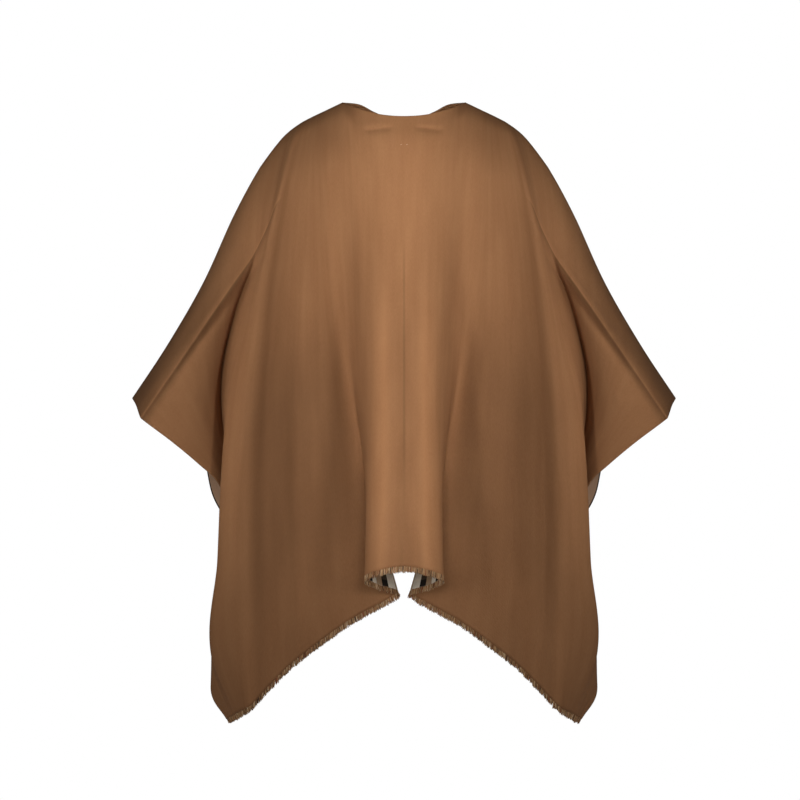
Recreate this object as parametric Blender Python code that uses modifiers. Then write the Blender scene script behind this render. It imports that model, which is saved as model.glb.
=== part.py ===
"""Wool cape, hollow, in the shape it has when it is worn, with no wearer.

The cape hangs with its back to -Y, its open front to +Y and +Z up.  X = 0 is its plane of symmetry, and the
wearer's left is at -X.  The origin is midway between the two neck points, at their height.

Each panel is a loft.  Its folds run down the cloth, from the shoulder line or the neck edge to the hem, and
the surface passes through them in turn, from the middle of the body to the selvedge.  The selvedge is the
cuff of the sleeve as far down as the side tack.  In the tables, lengths are in centimetres: "out" is away
from the plane of symmetry, "deep" is away from the shoulder line towards the panel's own side (to the rear
on the back, to the fore on a front), and "down" is below the neck points.
"""

from collections import namedtuple

import bpy
import numpy as np
from mathutils import Vector

CM = 0.01
WALL = 0.002  # thickness of the wool cloth
SEAM_GAP = 0.0003  # clear distance between pieces that are sewn together
SHOULDER_GAP = 0.0010  # between the middles of two walls, so that their tilted rims stay a seam gap apart
FRINGE_REACH = 0.011
FRINGE_WALL = 0.0012
FRINGE_GAP = 0.0013  # a little more than a seam, because the fringe turns more sharply at the folds
TACK_RADIUS = 0.0012
TACK_SIDES = 12
TACK_CLOTH = 41.0  # centimetres of cloth from the shoulder line to the side tack

NECK_HALF_WIDTH = 10.1
NECK_DROP = 2.8  # how far the back neck edge dips at the centre
NECK_ROUNDNESS = 2.2
NECK_DEEP = 6.5  # how far the back neck edge lies behind the shoulder line
SHOULDER_ROUND = 0.06  # share of the length over which cloth turns from level to hanging
TURN_SPEED = 1.0  # how fast the cloth leaves the shoulder line, level, for each length of cloth

# The shoulder line, from the neck point to the top of the cuff.
ShoulderPoint = namedtuple("ShoulderPoint", "out down")
SHOULDER_LINE = (
    ShoulderPoint(10.1, 0.0),  # neck point
    ShoulderPoint(17.2, 3.6),
    ShoulderPoint(21.1, 6.9),  # shoulder tip
    ShoulderPoint(24.4, 11.9),
    ShoulderPoint(27.1, 16.8),
    ShoulderPoint(32.7, 29.2),
    ShoulderPoint(35.6, 34.5),
    ShoulderPoint(39.9, 41.6),
    ShoulderPoint(44.7, 48.7),  # cuff top
)

# The front neck edge, from the neck point to the top of the opening.
NeckPoint = namedtuple("NeckPoint", "out deep down")
FRONT_NECK = (
    NeckPoint(10.1, 0.0, 0.0),
    NeckPoint(8.6, 1.7, 0.7),
    NeckPoint(7.3, 3.0, 0.0),
    NeckPoint(5.4, 4.9, 0.8),
    NeckPoint(3.4, 6.8, 1.8),
    NeckPoint(1.8, 8.4, 5.0),
)

# A fold of the body part of a panel.  "waist" is half-way down the cloth, "blade" is at BLADE.
BodyFold = namedtuple(
    "BodyFold", "name out_top out_waist out_hem deep_blade deep_waist deep_hem down_hem crisp"
)
BEND = 0.06  # by here the cloth has turned over the shoulder
BLADE = 0.175
WAIST = 0.5
BEND_SHARE = 0.55  # how much of the way to the blade's depth it has then gone
BACK_FOLDS = (
    BodyFold("centre", 0.0, 0.0, 0.0, 10.3, 13.9, 16.2, 75.6, 0.0),
    BodyFold("lobe_crest", 3.8, 3.4, 4.0, 10.2, 13.7, 16.4, 76.2, 0.0),
    BodyFold("lobe_edge", 7.2, 5.8, 6.3, 9.3, 12.0, 13.6, 77.3, 0.2),
    BodyFold("pleat_wall", 10.1, 8.4, 4.2, 8.4, 8.2, 8.2, 79.0, 0.0),
    BodyFold("pleat_back", 12.9, 10.0, 1.0, 7.9, 6.6, 4.0, 80.4, 0.3),
    BodyFold("flank", 14.0, 13.2, 9.3, 7.8, 7.2, 5.0, 85.2, 0.0),
    BodyFold("flank_crease", 14.7, 17.6, 16.6, 7.8, 7.2, 6.2, 90.5, 0.6),
    BodyFold("soft_ridge", 15.3, 19.6, 18.8, 7.9, 7.9, 7.0, 92.3, 0.0),
    BodyFold("groove", 15.9, 22.0, 21.8, 8.1, 8.9, 7.8, 95.3, 0.0),
    BodyFold("side_ridge", 16.6, 24.4, 25.0, 8.6, 10.3, 9.4, 98.6, 0.0),
)
FRONT_FOLDS = (
    BodyFold("opening_edge", 1.8, 2.4, 3.4, 10.4, 11.0, 9.8, 72.0, 0.0),
    BodyFold("opening_roll", 3.4, 4.6, 5.6, 10.8, 13.0, 14.2, 73.6, 0.0),
    BodyFold("breast_dip", 5.4, 7.8, 8.8, 10.6, 10.8, 8.2, 76.2, 0.0),
    BodyFold("neck_roll", 7.3, 10.2, 11.0, 10.3, 12.0, 12.2, 78.4, 0.0),
    BodyFold("neck_point", 10.1, 12.8, 13.2, 9.8, 12.4, 13.2, 80.2, 0.0),
    BodyFold("chest_dip", 12.9, 16.0, 16.2, 9.3, 10.6, 7.8, 83.0, 0.0),
    BodyFold("chest_fold", 15.2, 19.0, 19.4, 9.0, 12.6, 13.2, 86.6, 0.0),
    BodyFold("side_dip", 16.6, 21.6, 22.0, 8.8, 10.9, 8.4, 89.6, 0.0),
    BodyFold("side_ridge", 18.0, 24.4, 24.6, 8.8, 12.0, 10.6, 92.2, 0.0),
)

# The side of a panel at levels down the cloth: the outer contour of the body, the valley beside it and
# the selvedge.  "belly" is how far the sleeve stands proud of straight lines from valley to selvedge.
SideLevel = namedtuple("SideLevel", "name cloth contour valley selvedge belly")
BACK_SIDE = (
    SideLevel("shoulder", 0.0, (19.4,), (23.6,), (44.7,), 0.0),
    SideLevel("roll", 9.0, (21.2, 6.4, 14.4), (24.3, 6.2, 18.4), (43.3, 8.2, 50.2), 1.1),
    SideLevel("crease", 14.0, (22.2, 8.0, 21.0), (24.6, 7.5, 25.6), (42.4, 12.0, 52.0), 1.2),
    SideLevel("facet", 21.0, (24.5, 8.4, 30.6), (27.3, 5.9, 34.0), (37.5, 10.2, 55.8), 1.6),
    SideLevel("tuck", 28.0, (26.5, 8.6, 39.4), (29.7, 5.0, 43.4), (33.4, 7.6, 59.4), 1.2),
    SideLevel("cuff_corner", 33.0, (27.9, 8.3, 45.6), (29.9, 4.2, 50.0), (30.8, 5.4, 62.0), 0.6),
    SideLevel("tack", 41.0, (29.2, 7.6, 55.6), (28.5, 3.2, 60.4), (28.0, 0.9, 68.4), 0.0),
    SideLevel("pocket", 48.0, (29.8, 6.9, 64.0), (29.0, 3.8, 67.6), (28.1, 0.6, 75.0), 0.1),
    SideLevel("hip", 58.0, (30.2, 6.2, 74.6), (30.1, 3.2, 77.4), (28.8, 0.4, 83.6), 0.2),
    SideLevel("thigh", 72.0, (31.0, 5.6, 90.4), (31.2, 3.2, 93.0), (31.7, 0.8, 97.2), 0.1),
    SideLevel("hem", 80.0, (27.2, 6.8, 100.0), (28.1, 5.0, 100.7), (29.1, 2.8, 101.3), 0.0),
)
FRONT_SIDE = (
    SideLevel("shoulder", 0.0, (19.8,), (23.8,), (44.7,), 0.0),
    SideLevel("roll", 9.0, (21.6, 6.4, 14.8), (24.3, 6.0, 18.4), (43.5, 9.0, 49.6), 0.4),
    SideLevel("crease", 14.0, (22.4, 8.4, 21.4), (24.5, 7.2, 25.2), (42.2, 12.4, 51.2), 0.4),
    SideLevel("facet", 27.0, (24.8, 7.4, 37.6), (25.8, 3.4, 41.2), (34.0, 10.6, 57.8), 0.9),
    SideLevel("cuff_swell", 34.0, (26.0, 7.4, 45.4), (27.2, 3.4, 49.4), (31.6, 6.6, 64.2), 1.2),
    SideLevel("tack", 41.0, (27.0, 7.4, 53.6), (28.0, 4.6, 59.4), (29.2, 0.9, 69.2), 0.9),
    SideLevel("hip", 56.0, (29.2, 6.6, 71.6), (29.2, 4.0, 74.6), (28.2, 1.4, 81.6), 0.2),
    SideLevel("thigh", 67.0, (29.8, 6.0, 84.6), (29.8, 4.4, 86.8), (29.4, 2.6, 90.6), 0.1),
    SideLevel("hem", 74.0, (26.2, 7.8, 93.6), (27.0, 6.4, 94.2), (27.8, 4.6, 94.8), 0.0),
)
SLEEVE_SHARES = (0.2, 0.45, 0.72)  # where lines run down the sleeve, between valley and selvedge
CREASE_CRISP = (0.0, 0.6, 0.8, 0.8, 0.8)  # how sharp the sleeve crease is on the valley, the lines, the cuff
VALLEY_CRISP = 0.4  # how sharp the valley beside the body is
TACK_CRISP = 0.85  # how sharply the lines turn where the side tack holds them
NECK_CRISP = 1.0  # how sharp the corner at the neck point is
NECK_CRISP_FADE = 6  # how fast that sharpness fades down the cloth

# Grid of each panel: columns between neighbouring folds, and rows down the cloth.
BACK_SPLITS = (1, 2, 2, 2, 2, 2, 1, 1, 1, 2, 2, 1, 2, 2, 2)
FRONT_SPLITS = (1, 2, 2, 1, 2, 2, 2, 1, 1, 2, 1, 2, 2, 2)
ROWS_TO_CREASE = 6
ROWS_FROM_CREASE = 14
ROW_CROWDING = 1.5  # rows crowd towards the shoulder line, where the cloth turns fastest

Panel = namedtuple("Panel", "folds sides splits sign")
BACK = Panel(BACK_FOLDS, BACK_SIDE, BACK_SPLITS, -1)
FRONT = Panel(FRONT_FOLDS, FRONT_SIDE, FRONT_SPLITS, 1)

CAMEL = (0.22, 0.12, 0.055)
FRINGE_CAMEL = (0.30, 0.17, 0.08)


def clear_scene():
    for old in list(bpy.data.objects):
        bpy.data.objects.remove(old, do_unlink=True)


def hermite(knots, values, interval, share, crisp=0.0, start=None):
    """A cubic through values[k] at knots[k], read at a share of the way along each chosen interval.

    The slope at a knot is the mean of the chords beside it, each weighted by the other's length, and a
    crisp knot keeps each chord's own slope on its own side.  knots is (K,) or (K, rows), and values adds
    an axis of coordinates.  start, if given, is the slope at the first knot.
    """
    gap = np.diff(knots, axis=0)[..., None]
    chord = np.diff(values, axis=0) / gap
    mean = (chord[:-1] * gap[1:] + chord[1:] * gap[:-1]) / (gap[1:] + gap[:-1])
    soft = np.concatenate([chord[:1] if start is None else start[None], mean, chord[-1:]])
    crisp = np.broadcast_to(crisp, values.shape[:-1])[..., None]
    leave = soft[:-1] + crisp[:-1] * (chord - soft[:-1])
    reach = soft[1:] + crisp[1:] * (chord - soft[1:])
    if start is not None:
        leave[0] = start
    s = share.reshape((-1,) + (1,) * (values.ndim - 1))
    width = gap[interval]
    return (
        (1 + 2 * s) * (1 - s) ** 2 * values[interval]
        + s * (1 - s) ** 2 * width * leave[interval]
        + s**2 * (3 - 2 * s) * values[interval + 1]
        + s**2 * (s - 1) * width * reach[interval]
    )


def interval_of(knots, at):
    """Which interval each value lies in, and its share of the way along it."""
    interval = np.clip(np.searchsorted(knots, at, side="right") - 1, 0, len(knots) - 2)
    share = (at - knots[interval]) / (knots[interval + 1] - knots[interval])
    return interval, share


def along_curve(knots, values, at, crisp=0.0, start=None):
    knots = np.asarray(knots, float)
    interval, share = interval_of(knots, at)
    return hermite(knots, np.asarray(values, float), interval, share, crisp, start)


def rising_curve(knots, values, at):
    """A cubic that never overshoots: its slope at a knot is the harmonic mean of the chords beside it."""
    knots = np.asarray(knots, float)
    values = np.asarray(values, float)
    chord = np.diff(values) / np.diff(knots)
    both = chord[:-1] * chord[1:]
    inner = np.where(both > 0, 2 * both / np.where(both > 0, chord[:-1] + chord[1:], 1.0), 0.0)
    slope = np.concatenate([chord[:1], inner, chord[-1:]])
    i, s = interval_of(knots, at)
    width = knots[i + 1] - knots[i]
    return (
        (1 + 2 * s) * (1 - s) ** 2 * values[i]
        + s * (1 - s) ** 2 * width * slope[i]
        + s**2 * (3 - 2 * s) * values[i + 1]
        + s**2 * (s - 1) * width * slope[i + 1]
    )


def shoulder_down(out):
    line = np.array(SHOULDER_LINE)
    return rising_curve(line[:, 0], line[:, 1], np.asarray(out, float))


def top_of_fold(panel, out):
    """(out, deep, down) where a fold starts, on the neck edge or on the shoulder line."""
    seam = SHOULDER_GAP / CM / 2
    if out >= NECK_HALF_WIDTH:
        return out, seam, float(shoulder_down(out))
    if panel is BACK:
        share = out / NECK_HALF_WIDTH
        return out, max(seam, NECK_DEEP * (1 - share**2) ** 0.5), NECK_DROP * (1 - share**NECK_ROUNDNESS)
    edge = np.array(FRONT_NECK[::-1])
    deep, down = along_curve(edge[:, 0], edge[:, 1:], np.array([out]))[0]
    return out, float(deep), float(down)


def hanging(t, rounding):
    """Share of the drop at a share t of the cloth: level at the shoulder line, then steady."""
    return (1 + rounding) * t**2 / (t + rounding + 1e-9)


def body_line(panel, fold, t):
    """Points down one body fold: out is a parabola through its three values, deep a rising curve."""
    out, deep, down = top_of_fold(panel, fold.out_top)
    rise = fold.out_waist - fold.out_top
    run = fold.out_hem - fold.out_top
    bend = 2 * (run - 2 * rise)
    over_shoulder = fold.out_top >= NECK_HALF_WIDTH
    drop = hanging(t, SHOULDER_ROUND) if over_shoulder else t
    bent = deep + BEND_SHARE * (fold.deep_blade - deep)
    depths = [deep, bent, fold.deep_blade, fold.deep_waist, fold.deep_hem]
    return np.stack(
        [
            out + (run - bend) * t + bend * t**2,
            rising_curve([0, BEND, BLADE, WAIST, 1], depths, t),
            down + (fold.down_hem - down) * drop,
        ],
        axis=-1,
    )


def side_lines(panel, t):
    """Points down the contour, the valley, the lines of the sleeve and the selvedge."""
    levels = panel.sides
    cloth = np.array([level.cloth for level in levels])
    length = cloth[-1]
    knots = cloth / length

    def points(name):
        first = top_of_fold(panel, getattr(levels[0], name)[0])
        return np.array([first] + [getattr(level, name) for level in levels[1:]])

    contour, valley, selvedge = points("contour"), points("valley"), points("selvedge")
    belly = np.array([level.belly for level in levels])
    level_start = np.array([0.0, TURN_SPEED * length, 0.0])
    at_crease = np.array([level.name == "crease" for level in levels])
    at_tack = np.array([level.name == "tack" for level in levels])
    lines = [along_curve(knots, contour, t, start=level_start)]
    for share, crisp in zip((0.0,) + SLEEVE_SHARES + (1.0,), CREASE_CRISP):
        line = valley + share * (selvedge - valley)
        line[:, 1] += belly * 4 * share * (1 - share)
        out = valley[0, 0] + share * (selvedge[0, 0] - valley[0, 0])
        line[0] = top_of_fold(panel, out)
        lines.append(along_curve(knots, line, t, crisp * at_crease + TACK_CRISP * at_tack, level_start))
    return lines


def rows_down(panel, above, below):
    """Shares of the cloth's length at which the rows lie, one of them on the sleeve crease."""
    crease = [level.cloth for level in panel.sides if level.name == "crease"][0] / panel.sides[-1].cloth
    upper = crease * np.linspace(0, 1, above + 1) ** ROW_CROWDING
    return np.concatenate([upper[:-1], np.linspace(crease, 1, below + 1)])


def surface(panel, columns, t):
    """The panel's surface as (columns, rows, xyz), for x below zero, in metres, at shares t of its length.

    columns gives how many columns lie between neighbouring folds.  Across the folds the curve is spaced by
    the square root of the distance between them, so that tight folds don't loop.
    """
    lines = np.array([body_line(panel, fold, t) for fold in panel.folds] + side_lines(panel, t))
    step = np.linalg.norm(np.diff(lines, axis=0), axis=-1) ** 0.5
    knots = np.concatenate([np.zeros((1, len(t))), np.cumsum(step, axis=0)])
    interval = np.repeat(np.arange(len(columns)), columns)
    share = np.concatenate([np.arange(n) / n for n in columns])
    interval = np.append(interval, len(columns) - 1)
    share = np.append(share, 1.0)
    crisp = np.zeros(lines.shape[:2])
    crisp[: len(panel.folds)] = np.array([fold.crisp for fold in panel.folds])[:, None] * t**2
    crisp[len(panel.folds) + 1] = VALLEY_CRISP
    neck = [fold.out_top for fold in panel.folds].index(NECK_HALF_WIDTH)
    crisp[neck] = np.maximum(crisp[neck], NECK_CRISP * (1 - t) ** NECK_CRISP_FADE)
    start = None
    if panel is BACK:
        start = (lines[1] - lines[0]) / knots[1][:, None]
        start[:, 1:] = 0.0  # level at the plane of symmetry
    net = hermite(knots, lines, interval, share, crisp, start)
    return net * (-CM, panel.sign * CM, -CM)


def grid_mesh(name, points):
    columns, rows = points.shape[:2]
    mesh = bpy.data.meshes.new(name)
    index = np.arange(columns * rows).reshape(columns, rows)
    quads = np.stack([index[:-1, :-1], index[1:, :-1], index[1:, 1:], index[:-1, 1:]], axis=-1)
    mesh.from_pydata(points.reshape(-1, 3).tolist(), [], quads.reshape(-1, 4).tolist())
    mesh.update()
    return mesh


def cloth(name, points, collection, look, wall=WALL, mirrored=False):
    """A sheet of cloth: an open grid, mirrored if it spans both sides, and a wall from Solidify."""
    piece = bpy.data.objects.new(name, grid_mesh(name, points))
    collection.objects.link(piece)
    piece.data.materials.append(look)
    piece.data.shade_smooth()
    if mirrored:
        mirror = piece.modifiers.new("both_sides", "MIRROR")
        mirror.use_axis = (True, False, False)
        mirror.merge_threshold = 0.0001
    wall_maker = piece.modifiers.new("wall", "SOLIDIFY")
    wall_maker.thickness = wall
    wall_maker.offset = 0.0
    return piece


def fringe_points(points):
    """A strip that goes on from the hem, the way the cloth hangs there."""
    way = points[:, -1] - points[:, -2]
    way = way / np.linalg.norm(way, axis=-1, keepdims=True)
    reach = np.array([FRINGE_GAP, FRINGE_REACH])
    return points[:, -1, None] + way[:, None] * reach[None, :, None]


def selvedge_at(panel, cloth_length):
    """The selvedge at a length of cloth below the shoulder line, for x below zero, in metres."""
    t = np.array([cloth_length / panel.sides[-1].cloth])
    return side_lines(panel, t)[-1][0] * (-CM, panel.sign * CM, -CM)


def side_tack(name, turn, collection, look):
    """A short bar of thread from the back's selvedge to the front's."""
    back_edge = Vector(selvedge_at(BACK, TACK_CLOTH) * (turn, 1, 1))
    front_edge = Vector(selvedge_at(FRONT, TACK_CLOTH) * (turn, 1, 1))
    way = front_edge - back_edge
    bpy.ops.mesh.primitive_cylinder_add(
        vertices=TACK_SIDES, radius=TACK_RADIUS, depth=way.length - WALL - 2 * SEAM_GAP
    )
    bar = bpy.context.object
    bar.name = name
    bar.location = (back_edge + front_edge) / 2
    bar.rotation_euler = way.to_track_quat("Z", "Y").to_euler()
    bar.data.materials.append(look)
    for owner in list(bar.users_collection):
        owner.objects.unlink(bar)
    collection.objects.link(bar)
    return bar


def material(name, colour, roughness):
    look = bpy.data.materials.new(name)
    look.use_nodes = True
    shader = look.node_tree.nodes["Principled BSDF"]
    shader.inputs["Base Color"].default_value = (*colour, 1)
    shader.inputs["Roughness"].default_value = roughness
    return look


def build():
    clear_scene()
    cape = bpy.data.collections.new("wool_cape")
    bpy.context.scene.collection.children.link(cape)
    wool = material("camel_wool", CAMEL, 0.9)
    threads = material("fringe_threads", FRINGE_CAMEL, 0.95)
    back = surface(BACK, BACK.splits, rows_down(BACK, ROWS_TO_CREASE, ROWS_FROM_CREASE))
    front = surface(FRONT, FRONT.splits, rows_down(FRONT, ROWS_TO_CREASE, ROWS_FROM_CREASE))
    cloth("back_panel", back, cape, wool, mirrored=True)
    cloth("fringe_back", fringe_points(back), cape, threads, FRINGE_WALL, mirrored=True)
    for side, turn in (("left", 1), ("right", -1)):
        half = front * (turn, 1, 1)
        cloth(f"front_{side}", half, cape, wool)
        cloth(f"fringe_front_{side}", fringe_points(half), cape, threads, FRINGE_WALL)
        side_tack(f"side_tack_{side}", turn, cape, threads)


build()
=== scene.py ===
"""Looks of the open-front wool cape: brushed double-faced cloth, frayed hems and thread bars.

The cape hangs with its back to -Y, its open front to +Y and +Z up, with X = 0 its plane of symmetry and the
wearer's left at -X.  The cloth's surfaces are the ones that the solids have, on a finer grid and with the
small creases added.  In the tables, lengths are in centimetres: "out" is away from the plane of symmetry,
"deep" is away from the shoulder line towards the panel's own side, and "down" is below the neck points.
"""

import math
from collections import namedtuple

import bpy
import numpy as np
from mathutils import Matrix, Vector


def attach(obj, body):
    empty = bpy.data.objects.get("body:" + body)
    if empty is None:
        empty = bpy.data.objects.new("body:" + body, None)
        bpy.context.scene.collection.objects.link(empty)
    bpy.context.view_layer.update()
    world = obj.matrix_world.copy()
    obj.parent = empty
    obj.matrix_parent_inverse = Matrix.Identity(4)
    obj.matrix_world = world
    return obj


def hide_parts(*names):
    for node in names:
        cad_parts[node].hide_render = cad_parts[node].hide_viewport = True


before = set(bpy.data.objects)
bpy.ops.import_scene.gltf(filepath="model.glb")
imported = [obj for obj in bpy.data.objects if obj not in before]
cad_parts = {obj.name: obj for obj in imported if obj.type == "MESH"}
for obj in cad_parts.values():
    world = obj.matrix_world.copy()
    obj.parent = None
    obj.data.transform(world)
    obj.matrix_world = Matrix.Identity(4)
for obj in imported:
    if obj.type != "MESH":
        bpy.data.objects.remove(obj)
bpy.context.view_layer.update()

CM = 0.01
MM = 0.001
WALL = 0.002
SEAM = 0.0006  # gap between the edges of back and front at the shoulder line
BACK_LENGTH = 0.80  # the cloth, from the shoulder line to the hem
FRONT_LENGTH = 0.74
HALF_WIDTH = 0.708  # the cloth, from the middle to the selvedge

NECK_HALF_WIDTH = 10.1
NECK_DROP = 2.8  # how far the back neck edge dips at the centre
NECK_ROUNDNESS = 2.2
NECK_DEEP = 6.5  # how far the back neck edge lies behind the shoulder line
SHOULDER_ROUND = 0.06  # share of the length over which cloth turns from level to hanging
TURN_SPEED = 1.0  # how fast the cloth leaves the shoulder line, level, for each length of cloth

# The shoulder line, from the neck point to the top of the cuff.
ShoulderPoint = namedtuple("ShoulderPoint", "out down")
SHOULDER_LINE = (
    ShoulderPoint(10.1, 0.0),  # neck point
    ShoulderPoint(17.2, 3.6),
    ShoulderPoint(21.1, 6.9),  # shoulder tip
    ShoulderPoint(24.4, 11.9),
    ShoulderPoint(27.1, 16.8),
    ShoulderPoint(32.7, 29.2),
    ShoulderPoint(35.6, 34.5),
    ShoulderPoint(39.9, 41.6),
    ShoulderPoint(44.7, 48.7),  # cuff top
)

# The front neck edge, from the neck point to the top of the opening.
NeckPoint = namedtuple("NeckPoint", "out deep down")
FRONT_NECK = (
    NeckPoint(10.1, 0.0, 0.0),
    NeckPoint(8.6, 1.7, 0.7),
    NeckPoint(7.3, 3.0, 0.0),
    NeckPoint(5.4, 4.9, 0.8),
    NeckPoint(3.4, 6.8, 1.8),
    NeckPoint(1.8, 8.4, 5.0),
)

# A fold of the body part of a panel.  "waist" is half-way down the cloth, "blade" is at BLADE.
BodyFold = namedtuple(
    "BodyFold", "name out_top out_waist out_hem deep_blade deep_waist deep_hem down_hem crisp"
)
BEND = 0.06  # by here the cloth has turned over the shoulder
BLADE = 0.175
WAIST = 0.5
BEND_SHARE = 0.55  # how much of the way to the blade's depth it has then gone
BACK_FOLDS = (
    BodyFold("centre", 0.0, 0.0, 0.0, 10.3, 13.9, 16.2, 75.6, 0.0),
    BodyFold("lobe_crest", 3.8, 3.4, 4.0, 10.2, 13.7, 16.4, 76.2, 0.0),
    BodyFold("lobe_edge", 7.2, 5.8, 6.3, 9.3, 12.0, 13.6, 77.3, 0.2),
    BodyFold("pleat_wall", 10.1, 8.4, 4.2, 8.4, 8.2, 8.2, 79.0, 0.0),
    BodyFold("pleat_back", 12.9, 10.0, 1.0, 7.9, 6.6, 4.0, 80.4, 0.3),
    BodyFold("flank", 14.0, 13.2, 9.3, 7.8, 7.2, 5.0, 85.2, 0.0),
    BodyFold("flank_crease", 14.7, 17.6, 16.6, 7.8, 7.2, 6.2, 90.5, 0.6),
    BodyFold("soft_ridge", 15.3, 19.6, 18.8, 7.9, 7.9, 7.0, 92.3, 0.0),
    BodyFold("groove", 15.9, 22.0, 21.8, 8.1, 8.9, 7.8, 95.3, 0.0),
    BodyFold("side_ridge", 16.6, 24.4, 25.0, 8.6, 10.3, 9.4, 98.6, 0.0),
)
FRONT_FOLDS = (
    BodyFold("opening_edge", 1.8, 2.4, 3.4, 10.4, 11.0, 9.8, 72.0, 0.0),
    BodyFold("opening_roll", 3.4, 4.6, 5.6, 10.8, 13.0, 14.2, 73.6, 0.0),
    BodyFold("breast_dip", 5.4, 7.8, 8.8, 10.6, 10.8, 8.2, 76.2, 0.0),
    BodyFold("neck_roll", 7.3, 10.2, 11.0, 10.3, 12.0, 12.2, 78.4, 0.0),
    BodyFold("neck_point", 10.1, 12.8, 13.2, 9.8, 12.4, 13.2, 80.2, 0.0),
    BodyFold("chest_dip", 12.9, 16.0, 16.2, 9.3, 10.6, 7.8, 83.0, 0.0),
    BodyFold("chest_fold", 15.2, 19.0, 19.4, 9.0, 12.6, 13.2, 86.6, 0.0),
    BodyFold("side_dip", 16.6, 21.6, 22.0, 8.8, 10.9, 8.4, 89.6, 0.0),
    BodyFold("side_ridge", 18.0, 24.4, 24.6, 8.8, 12.0, 10.6, 92.2, 0.0),
)

# The side of a panel at levels down the cloth: the outer contour of the body, the valley beside it and
# the selvedge.  "belly" is how far the sleeve stands proud of straight lines from valley to selvedge.
SideLevel = namedtuple("SideLevel", "name cloth contour valley selvedge belly")
BACK_SIDE = (
    SideLevel("shoulder", 0.0, (19.4,), (23.6,), (44.7,), 0.0),
    SideLevel("roll", 9.0, (21.2, 6.4, 14.4), (24.3, 6.2, 18.4), (43.3, 8.2, 50.2), 1.1),
    SideLevel("crease", 14.0, (22.2, 8.0, 21.0), (24.6, 7.5, 25.6), (42.4, 12.0, 52.0), 1.2),
    SideLevel("facet", 21.0, (24.5, 8.4, 30.6), (27.3, 5.9, 34.0), (37.5, 10.2, 55.8), 1.6),
    SideLevel("tuck", 28.0, (26.5, 8.6, 39.4), (29.7, 5.0, 43.4), (33.4, 7.6, 59.4), 1.2),
    SideLevel("cuff_corner", 33.0, (27.9, 8.3, 45.6), (29.9, 4.2, 50.0), (30.8, 5.4, 62.0), 0.6),
    SideLevel("tack", 41.0, (29.2, 7.6, 55.6), (28.5, 3.2, 60.4), (28.0, 0.9, 68.4), 0.0),
    SideLevel("pocket", 48.0, (29.8, 6.9, 64.0), (29.0, 3.8, 67.6), (28.1, 0.6, 75.0), 0.1),
    SideLevel("hip", 58.0, (30.2, 6.2, 74.6), (30.1, 3.2, 77.4), (28.8, 0.4, 83.6), 0.2),
    SideLevel("thigh", 72.0, (31.0, 5.6, 90.4), (31.2, 3.2, 93.0), (31.7, 0.8, 97.2), 0.1),
    SideLevel("hem", 80.0, (27.2, 6.8, 100.0), (28.1, 5.0, 100.7), (29.1, 2.8, 101.3), 0.0),
)
FRONT_SIDE = (
    SideLevel("shoulder", 0.0, (19.8,), (23.8,), (44.7,), 0.0),
    SideLevel("roll", 9.0, (21.6, 6.4, 14.8), (24.3, 6.0, 18.4), (43.5, 9.0, 49.6), 0.4),
    SideLevel("crease", 14.0, (22.4, 8.4, 21.4), (24.5, 7.2, 25.2), (42.2, 12.4, 51.2), 0.4),
    SideLevel("facet", 27.0, (24.8, 7.4, 37.6), (25.8, 3.4, 41.2), (34.0, 10.6, 57.8), 0.9),
    SideLevel("cuff_swell", 34.0, (26.0, 7.4, 45.4), (27.2, 3.4, 49.4), (32.0, 6.6, 64.8), 1.2),
    SideLevel("tack", 41.0, (27.0, 7.4, 53.6), (28.0, 4.6, 59.4), (29.2, 0.9, 69.2), 0.9),
    SideLevel("hip", 56.0, (29.2, 6.6, 71.6), (29.2, 4.0, 74.6), (28.2, 1.4, 81.6), 0.2),
    SideLevel("thigh", 67.0, (29.8, 6.0, 84.6), (29.8, 4.4, 86.8), (29.4, 2.6, 90.6), 0.1),
    SideLevel("hem", 74.0, (26.2, 7.8, 93.6), (27.0, 6.4, 94.2), (27.8, 4.6, 94.8), 0.0),
)
SLEEVE_SHARES = (0.2, 0.45, 0.72)  # where lines run down the sleeve, between valley and selvedge
CREASE_CLOTH = 0.14  # metres of cloth from the shoulder line to the sleeve crease
TACK_CLOTH = 0.41  # and to the side tack
CREASE_START = 0.36  # metres of cloth from the middle of the panel to the crease's inner end
CREASE_CRISP = (0.0, 0.6, 0.9, 0.9, 0.9)  # how sharp the sleeve crease is on the valley, the lines, the cuff
VALLEY_CRISP = 0.4  # how sharp the valley beside the body is
TACK_CRISP = 0.85  # how sharply the lines turn where the side tack holds them
NECK_CRISP = 1.0  # how sharp the corner at the neck point is
NECK_CRISP_FADE = 6  # how fast that sharpness fades down the cloth

Panel = namedtuple("Panel", "folds sides")
BACK = Panel(BACK_FOLDS, BACK_SIDE)
FRONT = Panel(FRONT_FOLDS, FRONT_SIDE)

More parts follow.
